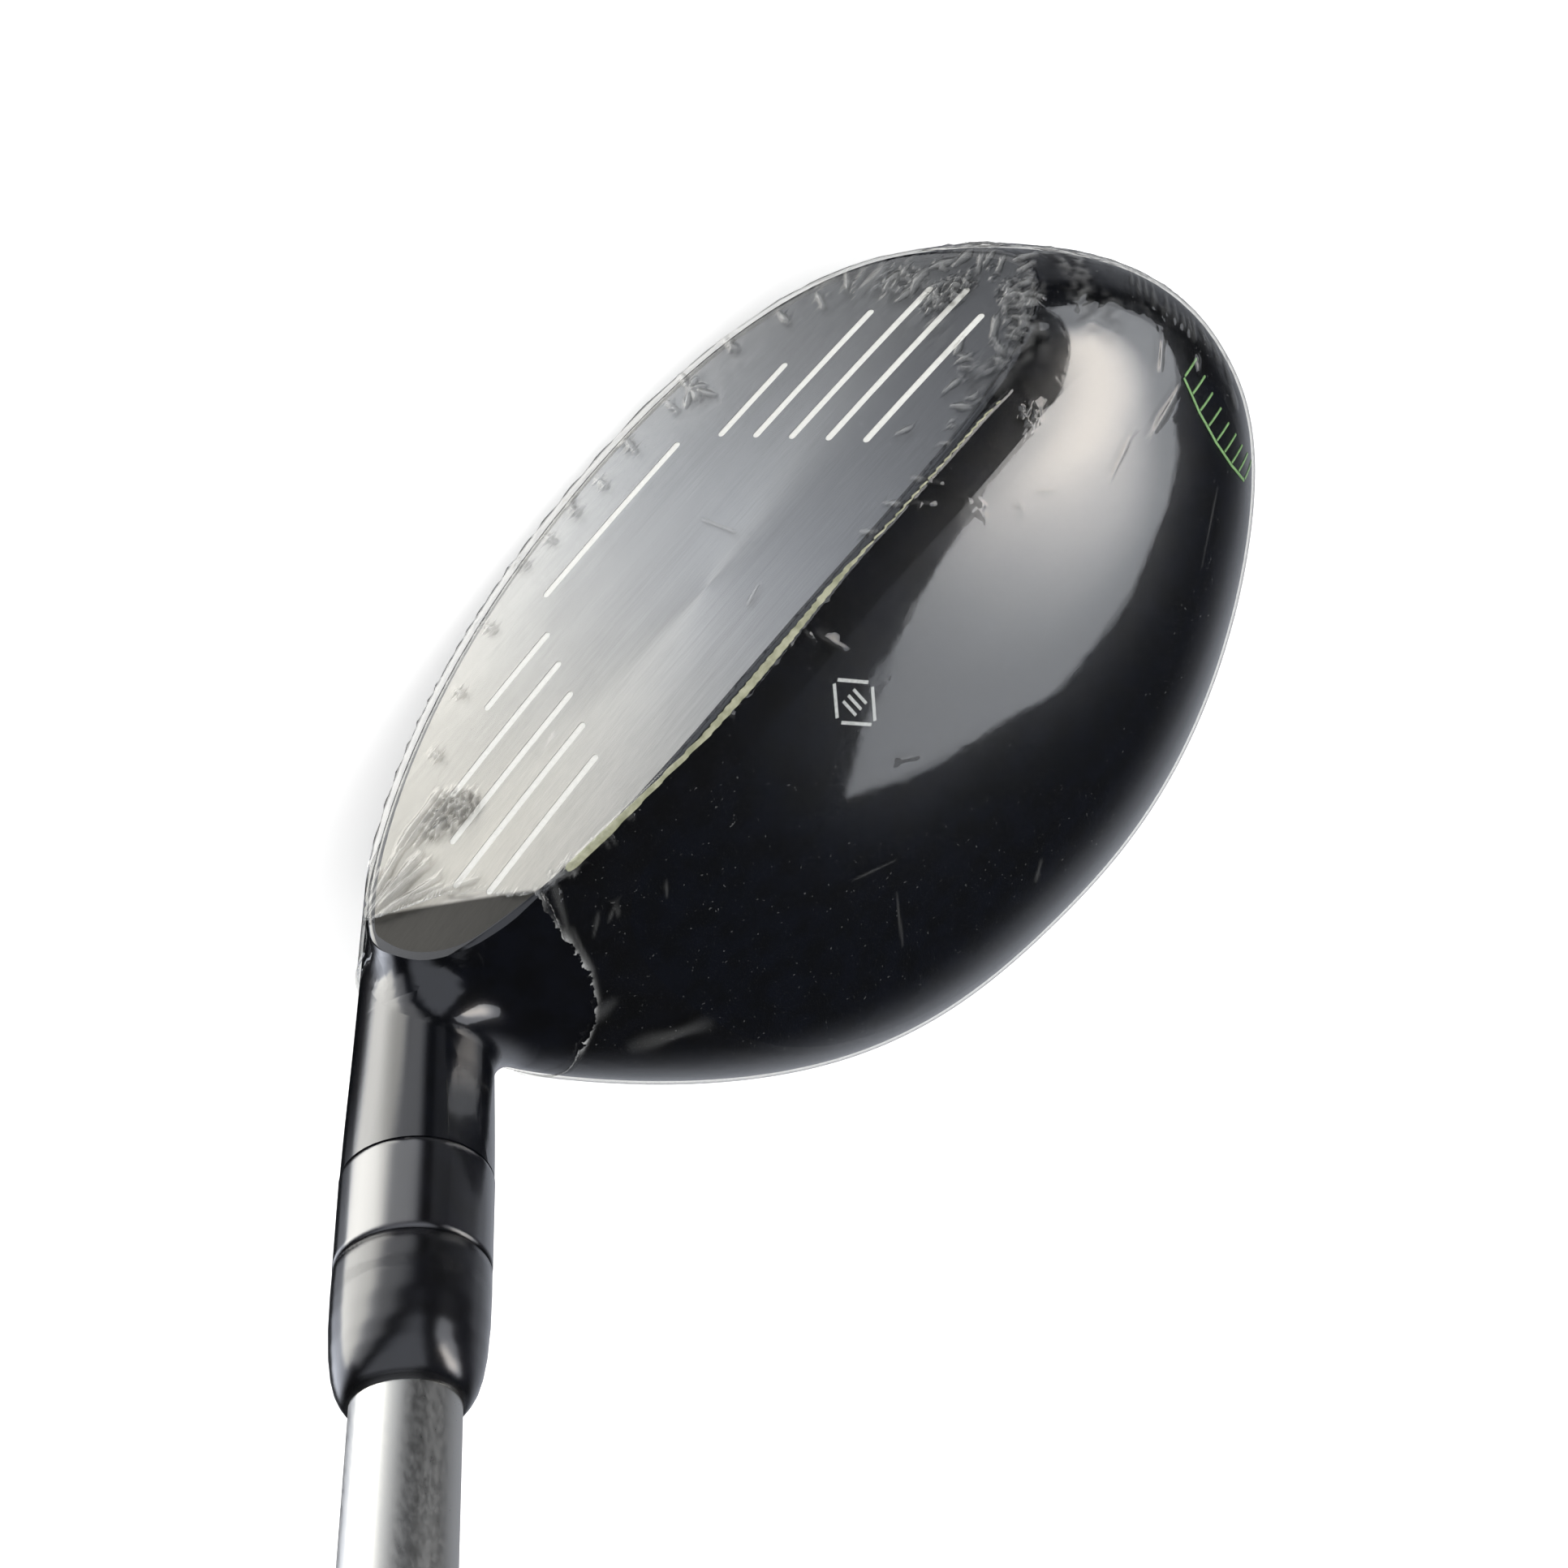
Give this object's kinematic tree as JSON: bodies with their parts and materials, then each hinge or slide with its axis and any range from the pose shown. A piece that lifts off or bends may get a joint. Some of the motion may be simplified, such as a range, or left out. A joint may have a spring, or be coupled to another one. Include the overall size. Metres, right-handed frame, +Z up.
{
  "type": "hybrid golf club",
  "caption": "Right-handed hybrid golf club with an adjustable hosel sleeve, steel face, hollow black head in clear shrink film, steel shaft and tapered rubber grip.",
  "frame": {"origin": "middle of the flat pad on the sole, on the ground, club at address", "axes": "+X to the heel, the face looks to -Y, +Z up; the shaft rises towards +X and +Z at 57.8 degrees to the ground"},
  "size_m": [0.651, 0.0731, 0.8761],
  "materials": {
    "head_black": "gloss black",
    "face_steel": "brushed along the score lines",
    "score_paint": "white paint fill",
    "crown_black": "gloss black over carbon fibre",
    "crown_glue": "adhesive",
    "mark_print": "light grey print",
    "tick_print": "pale green print",
    "dense_alloy": "bare sintered alloy",
    "screw_steel": "turned steel",
    "washer_nylon": "nylon",
    "washer_steel": "steel",
    "clip_steel": "spring steel",
    "ring_black": "gloss black anodised",
    "sleeve_alloy": "dark anodised",
    "epoxy": "epoxy",
    "ferrule_black": "gloss black",
    "shaft_steel": "satin silver",
    "plug_plastic": "plastic",
    "tape": "double-sided tape",
    "grip_rubber": "matte black rubber",
    "cap_rubber": "matte black rubber",
    "film": "clear shrink film"
  },
  "bodies": {
    "head": {"head_body": "head_black", "face_plate": "face_steel", "score_line_paint": "score_paint", "crown_shell": "crown_black", "crown_bond": "crown_glue", "crown_alignment_mark": "mark_print", "crown_tick_marks": "tick_print", "internal_weight": "dense_alloy", "shrink_film": "film"},
    "bolt_slider": {"bolt_washer": "washer_steel"},
    "bolt": {"hosel_bolt": "screw_steel"},
    "weight_slider": {"weight_washer": "washer_nylon"},
    "weight": {"sole_weight_screw": "screw_steel"},
    "clip": {"ring_clip": "clip_steel"},
    "ring": {"loft_ring": "ring_black"},
    "shaft_group": {"adapter_sleeve": "sleeve_alloy", "tip_epoxy": "epoxy", "ferrule": "ferrule_black", "shaft": "shaft_steel", "tip_plug": "plug_plastic", "grip_tape": "tape", "grip": "grip_rubber", "grip_cap": "cap_rubber"}
  },
  "joints": [
    {"name": "bolt_travel", "type": "slide", "parent": "head", "child": "bolt_slider", "axis": [-0.5324, 0, -0.8465], "range_m": [0, 0.0056]},
    {"name": "bolt_turn", "type": "hinge", "parent": "bolt_slider", "child": "bolt", "pos_m": [0.05987, -0.00438, 0.0187], "axis": [-0.5324, 0, -0.8465], "range_deg": [0, 2525]},
    {"name": "weight_travel", "type": "slide", "parent": "head", "child": "weight_slider", "axis": [0, 0.1126, -0.9936], "range_m": [0, 0.004]},
    {"name": "weight_turn", "type": "hinge", "parent": "weight_slider", "child": "weight", "pos_m": [0.0123, 0.0241, 0.00161], "axis": [0, 0.1126, -0.9936], "range_deg": [0, 1805]},
    {"name": "sleeve_lift", "type": "slide", "parent": "head", "child": "clip", "axis": [0.5324, 0, 0.8465], "range_m": [0, 0.045]},
    {"name": "ring_turn", "type": "hinge", "parent": "clip", "child": "ring", "pos_m": [0.07318, -0.00438, 0.03986], "axis": [0.5324, 0, 0.8465], "continuous": true},
    {"name": "sleeve_turn", "type": "hinge", "parent": "clip", "child": "shaft_group", "pos_m": [0.07318, -0.00438, 0.03986], "axis": [0.5324, 0, 0.8465], "continuous": true}
  ],
  "couplings": [
    {"joint": "bolt_turn", "follows": "bolt_travel", "rad_per_m": 7854},
    {"joint": "weight_turn", "follows": "weight_travel", "rad_per_m": 7854}
  ]
}
